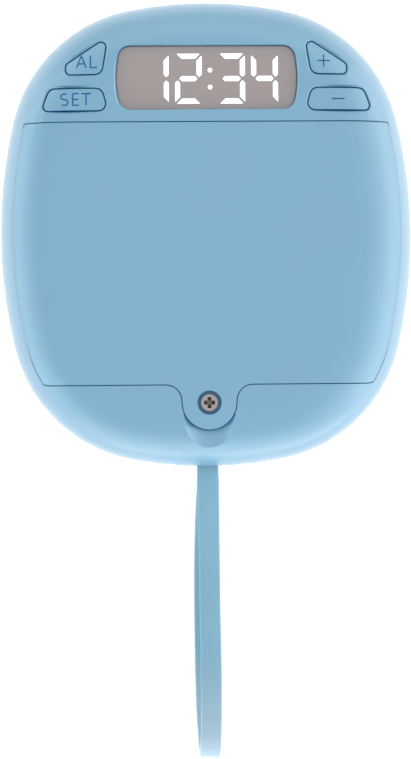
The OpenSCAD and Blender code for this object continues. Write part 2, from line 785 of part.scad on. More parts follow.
module door_screw() {
    color(dark_steel) translate([0, door_screw_y, 0]) difference() {
        union() {
            upright(door_screw_head_d, door_seat_z, door_seat_z + door_screw_head_h);
            upright(door_screw_d, door_seat_z - door_screw_l, door_seat_z);
        }
        for (a = [0, 90]) rotate([0, 0, a])
            translate([-recess_l / 2, -recess_w / 2, door_seat_z + door_screw_head_h - recess_h])
                cube([recess_l, recess_w, recess_h + over]);
    }
}

module door_screw_ring() {
    color(rubber_black) translate([0, door_screw_y, sleeve_z - retainer_drop - retainer_t]) difference() {
        cylinder(d = retainer_d, h = retainer_t);
        translate([0, 0, -over]) cylinder(d = door_screw_d + 2 * running, h = retainer_t + 2 * over);
    }
}

// The top, upper right and middle segments about a digit's middle, cut at 45 degrees where they meet
segment_cut = segment_gap / sqrt(2);
half_t = segment_t / 2;
segment_out_x = digit_w / 2;
segment_out_y = digit_h / 2;
segment_in_x = segment_out_x - segment_t;
segment_in_y = segment_out_y - segment_t;
top_segment = [
    [segment_cut - segment_out_x, segment_out_y],
    [segment_cut - segment_in_x, segment_in_y],
    [segment_in_x - segment_cut, segment_in_y],
    [segment_out_x - segment_cut, segment_out_y]
];
side_segment = [
    [segment_out_x, half_t + segment_cut],
    [segment_out_x, segment_out_y - segment_cut],
    [segment_in_x, segment_in_y - segment_cut],
    [segment_in_x, half_t + segment_cut],
    [segment_in_x + half_t, segment_cut]
];
middle_segment = [
    [segment_cut - segment_in_x - half_t, 0],
    [segment_cut - segment_in_x, -half_t],
    [segment_in_x - segment_cut, -half_t],
    [segment_in_x + half_t - segment_cut, 0],
    [segment_in_x - segment_cut, half_t],
    [segment_cut - segment_in_x, half_t]
];
// The segments a to g, each one of the three above and the way that it is flipped across X and Y
segment_list = [
    [top_segment, [1, 1]], [side_segment, [1, 1]], [side_segment, [1, -1]], [top_segment, [1, -1]],
    [side_segment, [-1, -1]], [side_segment, [-1, 1]], [middle_segment, [1, 1]]
];
function flipped(pts, way) =
    let (moved = [for (p = pts) [p[0] * way[0], p[1] * way[1]]])
    way[0] * way[1] < 0 ? reversed(moved) : moved;
module digit(lit, g) {
    for (s = lit) {
        pts = flipped(segment_list[s][0], segment_list[s][1]);
        polygon(outline(pts, [for (p = pts) 0], g));
    }
}
// The digits show 12:34
shown_digits = [[1, 2], [0, 1, 6, 4, 3], [0, 1, 6, 2, 3], [5, 6, 1, 2]];
function not_in(list) = [for (s = [0 : 6]) if (len(search(s, list)) == 0) s];
module digits(lit, g) {
    for (i = [0 : 3])
        translate([digits_x + (i - 1.5) * digit_pitch + (i < 2 ? -1 : 1) * colon_room / 2,
                display_y + digits_y])
            digit(lit ? shown_digits[i] : not_in(shown_digits[i]), g);
    if (lit) for (s = [-1, 1]) translate([digits_x, display_y + digits_y + s * colon_rise]) circle(d = colon_d + 2 * g);
}

module display_window() {
    color(lens_grey) difference() {
        union() {
            translate([0, 0, window_z - window_t]) linear_extrude(window_t) window_outline(-window_gap);
            translate([-window_ear_w / 2, display_y - window_h / 2 - window_ear, window_z - window_t])
                cube([window_ear_w, window_h + 2 * window_ear, window_ear_t]);
        }
        translate([0, 0, window_z - window_t - over]) linear_extrude(window_t + 2 * over) digits(true, segment_clear);
    }
}
module_top_z = window_z - window_t - module_gap;
module display_module() {
    color(module_grey) translate([-module_w / 2, display_y - module_l / 2, board_z + board_t])
        cube([module_w, module_l, module_top_z - board_z - board_t]);
}
module lit_segments() {
    color(lit_white) translate([0, 0, module_top_z]) linear_extrude(window_z - module_top_z) digits(true, 0);
}
module unlit_segments() {
    color(unlit_grey) translate([0, 0, module_top_z]) linear_extrude(unlit_h) digits(false, 0);
}

module main_board() {
    color(board_green) translate([0, 0, board_z]) difference() {
        linear_extrude(board_t) intersection() {
            polygon(plan(board_inset));
            translate([-body_w / 2, door_top_y + seam + bay_rim + board_gap]) square([body_w, body_l]);
        }
        at_board_screws() upright(board_screw_d + 2 * housing_head_gap, -over, board_t + over);
    }
}
module controller_chip() {
    color(chip_black) translate([-chip_w / 2, display_y - chip_w / 2, board_z - chip_t]) cube([chip_w, chip_w, chip_t]);
}
module timing_crystal() {
    color(tin) translate([crystal_x, display_y - crystal_below, board_z - crystal_d / 2]) rotate([0, 90, 0])
        cylinder(d = crystal_d, h = crystal_l);
}
switch_base_z = board_z + board_t;
module tact_switches() {
    color(switch_black) both_sides() for (p = [alarm_at, set_at]) translate([p[0], p[1], switch_base_z]) difference() {
        translate([-switch_w / 2, -switch_w / 2, 0]) cube([switch_w, switch_w, switch_h]);
        upright(plunger_d + 2 * running, switch_h + plunger_rise - plunger_l - key_travel - plunger_room,
            switch_h + over);
    }
}
module plunger(at) {
    color(plunger_tan) translate([at[0], at[1], switch_base_z + switch_h + plunger_rise - plunger_l])
        cylinder(d = plunger_d, h = plunger_l);
}
// A key cap follows the curved corner of the case and carries a flange below the housing's skin
module key(corners, radii, at) {
    color(key_blue) {
        difference() {
            intersection() {
                union() {
                    key_outline(corners, radii, 0);
                    intersection() {
                        key_outline(corners, radii, key_flange);
                        corner_crown(wall + seat);
                    }
                }
                corner_crown(key_recess);
            }
            corner_crown(wall + seat + key_flange_t);
        }
        translate([at[0], at[1], 0])
            upright(key_stem_d, switch_base_z + switch_h + plunger_rise + seat, body_h - wall - seat);
    }
}
module alarm_button() key(alarm_corners, alarm_radii, alarm_at);
module set_button() key(set_corners, set_radii, set_at);
module plus_button() mirror([1, 0, 0]) key(alarm_corners, alarm_radii, alarm_at);
module minus_button() mirror([1, 0, 0]) key(set_corners, set_radii, set_at);
module alarm_plunger() plunger(alarm_at);
module set_plunger() plunger(set_at);
module plus_plunger() mirror([1, 0, 0]) plunger(alarm_at);
module minus_plunger() mirror([1, 0, 0]) plunger(set_at);

module motor_can() {
    color(steel) difference() {
        union() {
            on_motor(motor_x) linear_extrude(motor_l) can_section(0);
            on_motor(motor_x + motor_l) cylinder(d = motor_boss_d, h = motor_boss_l);
        }
        on_motor(motor_x - over) cylinder(d = shaft_d + 2 * running, h = motor_l + motor_boss_l + 2 * over);
    }
}
module motor_end_cap() {
    color(nylon) difference() {
        on_motor(motor_x - end_cap_l) linear_extrude(end_cap_l) can_section(-end_cap_in);
        on_motor(motor_x - end_cap_l - over) cylinder(d = shaft_d + 2 * running, h = end_cap_l + 2 * over);
    }
    color(nickel) for (s = [-1, 1])
        translate([tag_end_x, motor_y + s * motor_tag_y - motor_tag_w / 2, motor_z - motor_tag_t / 2])
            cube([motor_tag_l + motor_tag_t, motor_tag_w, motor_tag_t]);
}
weight_x = motor_x + motor_l + weight_gap;
module motor_shaft() {
    color(steel) on_motor(motor_x - end_cap_l - shaft_tail)
        cylinder(d = shaft_d, h = weight_x + weight_l + weight_end - motor_x + end_cap_l + shaft_tail);
}
// Half disc that hangs below the shaft, with a round hub
module eccentric_weight() {
    color(dark_steel) on_motor(weight_x) linear_extrude(weight_l) difference() {
        union() {
            circle(d = weight_hub_d);
            intersection() {
                circle(r = weight_r);
                translate([0, -weight_r]) square(2 * weight_r);
            }
        }
        circle(d = shaft_d);
    }
}
module motor_clamp() {
    mid = motor_x + motor_l / 2;
    color(steel) difference() {
        union() {
            difference() {
                on_motor(mid - clamp_w / 2) linear_extrude(clamp_w) can_section(clamp_t + running);
                translate([mid - clamp_w, motor_y - end_y, clamp_foot_z - motor_d])
                    cube([2 * clamp_w, body_l, motor_d]);
            }
            for (s = [-1, 1])
                translate([mid - clamp_w / 2, motor_y + s * clamp_reach - clamp_foot_l / 2, clamp_foot_z])
                    cube([clamp_w, clamp_foot_l, clamp_t]);
        }
        on_motor(mid - clamp_w) linear_extrude(2 * clamp_w) can_section(running);
        for (s = [-1, 1]) translate([mid, motor_y + s * clamp_reach, 0])
            upright(clamp_screw_d + 2 * running, clamp_foot_z - over, clamp_foot_z + clamp_t + over);
    }
}
module pan_screw(d, l, head_d, head_h) {
    upright(d, -l, 0);
    upright(head_d, 0, head_h);
}
module clamp_screws() {
    color(dark_steel) for (s = [-1, 1])
        translate([motor_x + motor_l / 2, motor_y + s * clamp_reach, clamp_foot_z + clamp_t])
            pan_screw(clamp_screw_d, clamp_screw_l, clamp_screw_head_d, clamp_screw_head_h);
}
module housing_screws() {
    color(dark_steel) at_housing_screws() translate([0, 0, deck_z - housing_sink])
        pan_screw(housing_screw_d, housing_screw_l, housing_screw_head_d, housing_screw_head_h);
}
module board_screws() {
    color(dark_steel) at_board_screws() translate([0, 0, board_z]) mirror([0, 0, 1])
        pan_screw(board_screw_d, board_screw_l, board_screw_head_d, board_screw_head_h);
}

// A cell with its positive end towards +X when way is 1
module cell(y, way) {
    translate([way * cell_shift, y, cell_z]) rotate([0, way * 90, 0]) color(cell_wrap) rotate_extrude() polygon([
        [0, -cell_l / 2],
        [cell_base_d / 2, -cell_l / 2],
        [cell_base_d / 2, cell_base_h - cell_l / 2],
        [cell_d / 2 - cell_edge, cell_base_h - cell_l / 2],
        [cell_d / 2, cell_base_h + cell_edge - cell_l / 2],
        [cell_d / 2, cell_l / 2 - nub_h - cell_edge],
        [cell_d / 2 - cell_edge, cell_l / 2 - nub_h],
        [nub_d / 2, cell_l / 2 - nub_h],
        [nub_d / 2, cell_l / 2],
        [0, cell_l / 2]
    ]);
}
module battery_cell_top() cell(cell_ys[0], 1);
module battery_cell_middle() cell(cell_ys[1], -1);
module battery_cell_bottom() cell(cell_ys[2], 1);

// Contact plate against the end wall on the side given by way, from cell to cell
module contact_plate(way, from, to) {
    translate([way > 0 ? well_x - contact_t : -well_x, from - contact_w / 2, cell_z - contact_h / 2])
        cube([contact_t, to - from + contact_w, contact_h]);
}
dimple_h = contact_room - cell_shift - seat;
module dimple(way, y) {
    translate([way * (well_x - contact_t), y, cell_z]) rotate([0, -way * 90, 0])
        cylinder(d1 = dimple_d, d2 = dimple_top_d, h = dimple_h);
}
module solder_tail(way, y) {
    translate([way > 0 ? well_x - contact_t : -well_x, y - tail_w / 2, tail_end_z])
        cube([contact_t, tail_w, cell_z - tail_end_z]);
}
module terminal_positive() {
    color(nickel) {
        contact_plate(1, cell_ys[0], cell_ys[0]);
        dimple(1, cell_ys[0]);
        solder_tail(1, cell_ys[0]);
    }
}
module terminal_negative() {
    color(nickel) {
        contact_plate(-1, cell_ys[2], cell_ys[2]);
        solder_tail(-1, cell_ys[2]);
    }
}
module contact_link_left() {
    color(nickel) {
        contact_plate(-1, cell_ys[1], cell_ys[0]);
        dimple(-1, cell_ys[1]);
    }
}
module contact_link_right() {
    color(nickel) {
        contact_plate(1, cell_ys[2], cell_ys[1]);
        dimple(1, cell_ys[2]);
    }
}
// Conical contact spring from its plate to its cell
spring_l = contact_room + cell_shift - seat;
spring_steps = spring_turns * spring_rings;
spring_path = concat(
    [[0, spring_base_r, 0]],
    [for (k = [0 : spring_steps])
        let (
            a = 360 * k / spring_rings,
            r = spring_base_r - (spring_base_r - spring_tip_r) * k / spring_steps
        )
        [spring_wire + (spring_l - 2 * spring_wire) * k / spring_steps, r * cos(a), r * sin(a)]],
    [[spring_l, spring_tip_r, 0]]
);
function least_gap(path, d, apart) = min([
    for (i = [0 : len(path) - 1]) for (j = [i + apart : 1 : len(path) - 1]) norm(path[i] - path[j])
]) - d;
echo("contact spring, least gap to itself in mm", least_gap(spring_path, spring_wire, spring_rings - 2));
module contact_spring(way, y) {
    color(steel) translate([-way * (well_x - contact_t), y, cell_z]) rotate([0, 0, way > 0 ? 0 : 180])
        tube(spring_path, spring_wire, spring_sides, [0, 0, 1]);
}
module contact_spring_top() contact_spring(1, cell_ys[0]);
module contact_spring_middle() contact_spring(-1, cell_ys[1]);
module contact_spring_bottom() contact_spring(1, cell_ys[2]);

module strap() {
    w = strap_w / 2;
    t = strap_t / 2;
    section = [[w, -(t - strap_edge)], [w, t - strap_edge], [w - strap_edge, t], [strap_edge - w, t],
        [-w, t - strap_edge], [-w, -(t - strap_edge)], [strap_edge - w, -t], [w - strap_edge, -t]];
    color(strap_blue) loft(swept_rings(strap_route, section, [1, 0, 0]));
}
module strap_foot() {
    color(strap_blue) translate([-foot_w / 2, foot_y, parting_h - foot_top_gap - foot_h]) cube([foot_w, foot_l, foot_h]);
}

module battery_wire_red() color(wire_red) tube(battery_red_route, battery_wire_d, wire_sides, [1, 0, 0]);
module battery_wire_black() color(wire_black) tube(battery_black_route, battery_wire_d, wire_sides, [1, 0, 0]);
module motor_lead_red() color(wire_red) tube(motor_red_route, motor_wire_d, wire_sides, [0, 0, 1]);
module motor_lead_black() color(wire_black) tube(motor_black_route, motor_wire_d, wire_sides, [0, 0, 1]);

rear_housing();
front_housing();
battery_door();
door_screw();
door_screw_ring();
display_window();
display_module();
lit_segments();
unlit_segments();
main_board();
controller_chip();
timing_crystal();
tact_switches();
alarm_button();
set_button();
plus_button();
minus_button();
alarm_plunger();
set_plunger();
plus_plunger();
minus_plunger();
motor_can();
motor_end_cap();
motor_shaft();
eccentric_weight();
motor_clamp();
clamp_screws();
battery_cell_top();
battery_cell_middle();
battery_cell_bottom();
terminal_positive();
terminal_negative();
contact_link_left();
contact_link_right();
contact_spring_top();
contact_spring_middle();
contact_spring_bottom();
housing_screws();
board_screws();
strap();
strap_foot();
battery_wire_red();
battery_wire_black();
motor_lead_red();
motor_lead_black();
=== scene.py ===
"""Looks of the vibrating alarm clock: camera, materials, strap, leads, side rests, key marks and studio.

All lengths are in metres in the CAD's own frame: +Z up out of the display face, +Y towards the display.
"""

import json
import math

import bmesh
import bpy
from mathutils import Matrix, Vector
from mathutils.bvhtree import BVHTree


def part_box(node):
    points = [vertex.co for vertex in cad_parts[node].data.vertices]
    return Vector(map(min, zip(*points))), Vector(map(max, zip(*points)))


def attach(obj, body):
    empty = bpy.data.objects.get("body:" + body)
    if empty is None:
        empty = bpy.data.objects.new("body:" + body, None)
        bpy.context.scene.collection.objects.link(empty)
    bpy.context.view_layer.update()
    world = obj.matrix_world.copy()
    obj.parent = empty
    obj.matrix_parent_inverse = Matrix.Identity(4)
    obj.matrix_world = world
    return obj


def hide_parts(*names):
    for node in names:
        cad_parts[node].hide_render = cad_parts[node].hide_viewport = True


MM = 0.001

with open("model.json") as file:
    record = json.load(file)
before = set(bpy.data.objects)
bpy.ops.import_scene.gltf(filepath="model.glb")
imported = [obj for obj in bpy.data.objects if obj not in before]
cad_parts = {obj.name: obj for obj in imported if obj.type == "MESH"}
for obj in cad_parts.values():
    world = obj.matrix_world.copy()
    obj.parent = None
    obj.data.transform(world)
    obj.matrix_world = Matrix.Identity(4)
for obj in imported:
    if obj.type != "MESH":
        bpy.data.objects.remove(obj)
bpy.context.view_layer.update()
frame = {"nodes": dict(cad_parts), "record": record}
nodes = frame["nodes"]

# Camera
CAMERA_DISTANCE = 430 * MM
CAMERA_YAW = math.radians(1.85)
CAMERA_ROLL = math.radians(-0.5)
CAMERA_TARGET = Vector((-0.33, -28.76, 15.0)) * MM
VIEW_HEIGHT = 151.8 * MM
SENSOR_MM = 36
NEAREST = 10 * MM
FARTHEST = 20


def add_camera():
    """A camera almost straight above the clock, leaned a little to the left and rolled, as in the photo."""
    data = bpy.data.cameras.new("camera")
    data.sensor_fit = "VERTICAL"
    data.sensor_height = SENSOR_MM
    data.lens = SENSOR_MM * CAMERA_DISTANCE / VIEW_HEIGHT
    data.clip_start = NEAREST
    data.clip_end = FARTHEST
    camera = bpy.data.objects.new("camera", data)
    bpy.context.scene.collection.objects.link(camera)
    back = Vector((-math.sin(CAMERA_YAW), 0, math.cos(CAMERA_YAW)))
    right = Vector((0, 1, 0)).cross(back).normalized()
    up = back.cross(right)
    turn = Matrix((right, up, back)).transposed().to_4x4() @ Matrix.Rotation(CAMERA_ROLL, 4, "Z")
    camera.matrix_world = Matrix.Translation(CAMERA_TARGET + back * CAMERA_DISTANCE) @ turn
    bpy.context.scene.camera = camera


# Materials
def srgb(r, g, b):
    """Linear colour of an 8-bit display colour."""
    def lin(v):
        v /= 255
        return v / 12.92 if v <= 0.04045 else ((v + 0.055) / 1.055) ** 2.4
    return (lin(r), lin(g), lin(b), 1)


def new_material(name):
    """A node material: returns it, its node tree and its shader."""
    mat = bpy.data.materials.new(name)
    mat.use_nodes = True
    tree = mat.node_tree
    return mat, tree, tree.nodes["Principled BSDF"]


MOTTLE_DETAIL = 2
MOTTLE_BAND = (0.3, 0.7)


def mottled(tree, colour, spread, scale):
    """A colour that varies softly over the surface: returns the output socket."""
    coord = tree.nodes.new("ShaderNodeTexCoord")
    noise = tree.nodes.new("ShaderNodeTexNoise")
    ramp = tree.nodes.new("ShaderNodeValToRGB")
    noise.inputs["Scale"].default_value = scale
    noise.inputs["Detail"].default_value = MOTTLE_DETAIL
    low = [c * (1 - spread) for c in colour[:3]] + [1]
    high = [min(1, c * (1 + spread)) for c in colour[:3]] + [1]
    for stop, place, shade in zip(ramp.color_ramp.elements, MOTTLE_BAND, (low, high)):
        stop.position = place
        stop.color = shade
    tree.links.new(coord.outputs["Object"], noise.inputs["Vector"])
    tree.links.new(noise.outputs["Fac"], ramp.inputs["Fac"])
    return ramp.outputs["Color"]


GRAIN_DETAIL = 3


def grain(tree, bsdf, scale, distance, strength, rough):
    """Fine surface grain: bump, and roughness that varies between the two values of rough."""
    coord = tree.nodes.new("ShaderNodeTexCoord")
    noise = tree.nodes.new("ShaderNodeTexNoise")
    bump = tree.nodes.new("ShaderNodeBump")
    noise.inputs["Scale"].default_value = scale
    noise.inputs["Detail"].default_value = GRAIN_DETAIL
    bump.inputs["Distance"].default_value = distance
    bump.inputs["Strength"].default_value = strength
    tree.links.new(coord.outputs["Object"], noise.inputs["Vector"])
    tree.links.new(noise.outputs["Fac"], bump.inputs["Height"])
    tree.links.new(bump.outputs["Normal"], bsdf.inputs["Normal"])
    span = tree.nodes.new("ShaderNodeMapRange")
    span.inputs["To Min"].default_value = rough[0]
    span.inputs["To Max"].default_value = rough[1]
    tree.links.new(noise.outputs["Fac"], span.inputs["Value"])
    tree.links.new(span.outputs["Result"], bsdf.inputs["Roughness"])


OPENNESS_RAYS = 12


def paint_hollow_shade(tree, bsdf, colour, dark, glow, reach, low, high, own=False):
    """Painted shade and painted glow in narrow gaps and recesses, where walls nearer than reach close a face
    in.

    The colour is painted towards the dark one where the openness falls from high to low, and the glow colour
    is painted there as emission. own counts only the walls of the piece itself.
    """
    near = tree.nodes.new("ShaderNodeAmbientOcclusion")
    near.samples = OPENNESS_RAYS
    near.only_local = own
    near.inputs["Distance"].default_value = reach
    span = tree.nodes.new("ShaderNodeMapRange")
    span.interpolation_type = "SMOOTHSTEP"
    span.inputs["From Min"].default_value = low
    span.inputs["From Max"].default_value = high
    # Painted shade: the colour is mixed towards the dark one where the face is closed in.
    mix = tree.nodes.new("ShaderNodeMix")
    mix.data_type = "RGBA"
    mix.inputs["A"].default_value = dark
    tree.links.new(near.outputs["AO"], span.inputs["Value"])
    tree.links.new(span.outputs["Result"], mix.inputs["Factor"])
    tree.links.new(colour, mix.inputs["B"])
    # Painted glow: emission of the glow colour where the face is closed in.
    through = tree.nodes.new("ShaderNodeMix")
    through.data_type = "RGBA"
    through.inputs["A"].default_value = glow
    through.inputs["B"].default_value = (0, 0, 0, 1)
    tree.links.new(span.outputs["Result"], through.inputs["Factor"])
    tree.links.new(through.outputs["Result"], bsdf.inputs["Emission Color"])
    bsdf.inputs["Emission Strength"].default_value = 1
    return mix.outputs["Result"]


ROUGH_SPREAD = 0.04
PLASTIC_MOTTLE = 60


def plastic(name, colour, rough, spread=0.02, grain_scale=4500, grain_depth=0.02 * MM, strength=0.25,
            coat=0.0, gloss=0.5, hollow_shade=None):
    """Moulded plastic with a fine grain. The last argument holds the settings of the shade and glow painted
    into its narrow gaps, if any.
    """
    mat, tree, bsdf = new_material(name)
    grain(tree, bsdf, grain_scale, grain_depth, strength, (rough - ROUGH_SPREAD, rough + ROUGH_SPREAD))
    bsdf.inputs["Specular IOR Level"].default_value = gloss
    bsdf.inputs["Coat Weight"].default_value = coat
    bsdf.inputs["Coat Roughness"].default_value = rough
    skin = mottled(tree, colour, spread, PLASTIC_MOTTLE)
    if hollow_shade:
        skin = paint_hollow_shade(tree, bsdf, skin, **hollow_shade)
    tree.links.new(skin, bsdf.inputs["Base Color"])
    return mat


METAL_ROUGH_SPREAD = 0.07
METAL_MOTTLE = 300
METAL_SPREAD = 0.06
METAL_GRAIN = {"scale": 2500, "distance": 0.01 * MM, "strength": 0.3}


def metal(name, colour, rough, hollow_shade=None):
    """Bare metal. The last argument holds the settings of the shade and glow painted into its recesses, if
    any.
    """
    mat, tree, bsdf = new_material(name)
    bsdf.inputs["Metallic"].default_value = 1
    skin = mottled(tree, colour, METAL_SPREAD, METAL_MOTTLE)
    if hollow_shade:
        skin = paint_hollow_shade(tree, bsdf, skin, **hollow_shade)
    tree.links.new(skin, bsdf.inputs["Base Color"])
    grain(tree, bsdf, rough=(rough - METAL_ROUGH_SPREAD, rough + METAL_ROUGH_SPREAD), **METAL_GRAIN)
    return mat


GLOW_SPREAD = 0.01
GLOW_MOTTLE = 200
GLOW_ROUGH = 0.4


def glowing(name, colour, strength):
    """A lit segment of the display."""
    mat, tree, bsdf = new_material(name)
    glow = mottled(tree, colour, GLOW_SPREAD, GLOW_MOTTLE)
    tree.links.new(glow, bsdf.inputs["Base Color"])
    tree.links.new(glow, bsdf.inputs["Emission Color"])
    bsdf.inputs["Emission Strength"].default_value = strength
    bsdf.inputs["Roughness"].default_value = GLOW_ROUGH
    return mat


def paint_bend_highlight(mat, bend_highlight, start, end):
    """Paints a material paler along y from the start to the end: a painted highlight on the bend at the
    strap's end.
    """
    tree = mat.node_tree
    bsdf = tree.nodes["Principled BSDF"]
    skin = bsdf.inputs["Base Color"].links[0].from_socket
    coord = tree.nodes.new("ShaderNodeTexCoord")
    axes = tree.nodes.new("ShaderNodeSeparateXYZ")
    span = tree.nodes.new("ShaderNodeMapRange")
    span.interpolation_type = "SMOOTHSTEP"
    span.inputs["From Min"].default_value = start
    span.inputs["From Max"].default_value = end
    mix = tree.nodes.new("ShaderNodeMix")
    mix.data_type = "RGBA"
    mix.inputs["B"].default_value = bend_highlight
    tree.links.new(coord.outputs["Object"], axes.inputs["Vector"])
    tree.links.new(axes.outputs["Y"], span.inputs["Value"])
    tree.links.new(span.outputs["Result"], mix.inputs["Factor"])
    tree.links.new(skin, mix.inputs["A"])
    tree.links.new(mix.outputs["Result"], bsdf.inputs["Base Color"])


SLEEVE_BARE = srgb(190, 188, 182)
SLEEVE_DARK = srgb(30, 32, 36)
SLEEVE_COPPER = srgb(176, 98, 52)
SLEEVE_BANDS = [(0.0, SLEEVE_BARE), (0.022, SLEEVE_DARK), (0.66, SLEEVE_COPPER), (0.955, SLEEVE_BARE)]
SLEEVE_METALLIC = 0.35
SLEEVE_GRAIN = {"scale": 1500, "distance": 0.01 * MM, "strength": 0.2, "rough": (0.26, 0.36)}


def cell_sleeve(name, way):
    """Sleeve of a cell: a dark body with a copper band at the positive end and bare metal ends.

    way is 1 where the positive end points to the right, and -1 where it points to the left.
    """
    mat, tree, bsdf = new_material(name)
    coord = tree.nodes.new("ShaderNodeTexCoord")
    split = tree.nodes.new("ShaderNodeSeparateXYZ")
    span = tree.nodes.new("ShaderNodeMapRange")
    ramp = tree.nodes.new("ShaderNodeValToRGB")
    ramp.color_ramp.interpolation = "CONSTANT"
    low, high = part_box("battery_cell_top" if way > 0 else "battery_cell_middle")
    ends = (low.x, high.x) if way > 0 else (high.x, low.x)
    span.inputs["From Min"].default_value = ends[0]
    span.inputs["From Max"].default_value = ends[1]
    stops = ramp.color_ramp.elements
    while len(stops) < len(SLEEVE_BANDS):
        stops.new(0.5)
    for stop, (place, colour) in zip(stops, SLEEVE_BANDS):
        stop.position = place
        stop.color = colour
    tree.links.new(coord.outputs["Object"], split.inputs["Vector"])
    tree.links.new(split.outputs["X"], span.inputs["Value"])
    tree.links.new(span.outputs["Result"], ramp.inputs["Fac"])
    tree.links.new(ramp.outputs["Color"], bsdf.inputs["Base Color"])
    bsdf.inputs["Metallic"].default_value = SLEEVE_METALLIC
    grain(tree, bsdf, **SLEEVE_GRAIN)
    return mat


CASE = {"colour": srgb(110, 166, 197), "rough": 0.34, "coat": 0.7, "gloss": 0.8}
# Settings of the painted shade and painted glow: dark is the painted shade and glow the painted emission, in
# the narrow gaps of the case and keys and in the screw's recess.
PAINTED_GROOVE_SHADE = {"dark": srgb(0, 76, 116), "glow": srgb(0, 53, 82), "reach": 2.2 * MM, "low": 0.35, "high": 0.93}
PAINTED_RECESS_SHADE = {"dark": srgb(60, 42, 30), "glow": srgb(16, 9, 5), "reach": 1.2 * MM, "low": 0.3, "high": 0.95}
MATERIALS = {
    "case_plastic": plastic("case_plastic", **CASE, hollow_shade=PAINTED_GROOVE_SHADE),
    "key_plastic": plastic("key_plastic", **CASE, hollow_shade=PAINTED_GROOVE_SHADE),
    "strap_silicone": plastic("strap_silicone", srgb(120, 170, 194), 0.55, spread=0.03, grain_depth=0.04 * MM,
                              gloss=0.7),
    "window_lens": plastic("window_lens", srgb(161, 152, 151), 0.3, spread=0.01, strength=0.1, coat=0.3),
    "display_frame": plastic("display_frame", srgb(200, 200, 196), 0.5),
    "segment_lit": glowing("segment_lit", srgb(255, 255, 255), 0.9),
    "segment_unlit": plastic("segment_unlit", srgb(150, 146, 144), 0.5),
    "board_laminate": plastic("board_laminate", srgb(24, 92, 44), 0.35),
    "chip_epoxy": plastic("chip_epoxy", srgb(28, 28, 30), 0.5),
    "switch_body": plastic("switch_body", srgb(38, 38, 42), 0.45),
    "switch_plunger": plastic("switch_plunger", srgb(205, 180, 130), 0.45),
    "motor_steel": metal("motor_steel", srgb(188, 188, 184), 0.32),
    "screw_steel": metal("screw_steel", srgb(192, 186, 180), 0.3, hollow_shade=PAINTED_RECESS_SHADE),
    "weight_metal": metal("weight_metal", srgb(128, 124, 122), 0.45),
    "contact_nickel": metal("contact_nickel", srgb(208, 204, 194), 0.28),
    "crystal_can": metal("crystal_can", srgb(186, 188, 192), 0.25),
    "nylon_white": plastic("nylon_white", srgb(228, 224, 212), 0.5),
    "ring_rubber": plastic("ring_rubber", srgb(30, 30, 30), 0.7),
    "wire_red": plastic("wire_red", srgb(190, 24, 20), 0.45),
    "wire_black": plastic("wire_black", srgb(24, 24, 24), 0.45),
}
# Painted highlight: the strap's end fold is painted paler.
paint_bend_highlight(MATERIALS["strap_silicone"], bend_highlight=srgb(156, 188, 206), start=-82 * MM, end=-103.5 * MM)
mark_paint = plastic("mark_paint", srgb(26, 98, 150), 0.6, strength=0.1, gloss=0.2)
rest_plastic = plastic("rest_plastic", **CASE)
# The door has painted shade only where its own walls close it in, as in its screw well.
door_plastic = plastic("door_plastic", **CASE, hollow_shade={**PAINTED_GROOVE_SHADE, "own": True})


# CAD nodes
SHARP = math.radians(32)
SAME_PLACE = 0.001 * MM
BEVEL_ANGLE = math.radians(50)
NORMAL_WEIGHT = 80


def smoothing_group():
    """Joins the vertices of a CAD mesh and shades it smooth, apart from its sharp edges."""
    group = bpy.data.node_groups.new("smooth_by_angle", "GeometryNodeTree")
    group.interface.new_socket("Geometry", in_out="INPUT", socket_type="NodeSocketGeometry")
    group.interface.new_socket("Geometry", in_out="OUTPUT", socket_type="NodeSocketGeometry")
    start = group.nodes.new("NodeGroupInput")
    end = group.nodes.new("NodeGroupOutput")
    merge = group.nodes.new("GeometryNodeMergeByDistance")
    merge.inputs["Distance"].default_value = SAME_PLACE
    faces = group.nodes.new("GeometryNodeSetShadeSmooth")
    edges = group.nodes.new("GeometryNodeSetShadeSmooth")
    edges.domain = "EDGE"
    edges.inputs["Shade Smooth"].default_value = False
    angle = group.nodes.new("GeometryNodeInputMeshEdgeAngle")
    test = group.nodes.new("FunctionNodeCompare")
    test.operation = "GREATER_THAN"
    test.inputs[1].default_value = SHARP
    link = group.links.new
    link(start.outputs[0], merge.inputs["Geometry"])
    link(merge.outputs["Geometry"], faces.inputs["Geometry"])
    link(faces.outputs["Geometry"], edges.inputs["Geometry"])
    link(angle.outputs["Unsigned Angle"], test.inputs[0])
    link(test.outputs["Result"], edges.inputs["Selection"])
    link(edges.outputs["Geometry"], end.inputs[0])
    return group


smooth_by_angle = smoothing_group()


def dress(name, material, bevel=0.0):
    """Gives a CAD node its material, smooth shading and, where asked, softened edges."""
    obj = nodes[name]
    obj.data.materials.clear()
    obj.data.materials.append(material)
    obj.modifiers.new("smooth", "NODES").node_group = smooth_by_angle
    if bevel:
        edge = obj.modifiers.new("edge", "BEVEL")
        edge.width = bevel
        edge.segments = 2
        edge.limit_method = "ANGLE"
        edge.angle_limit = BEVEL_ANGLE
        edge.harden_normals = False
    even = obj.modifiers.new("even", "WEIGHTED_NORMAL")
    even.keep_sharp = True
    even.weight = NORMAL_WEIGHT


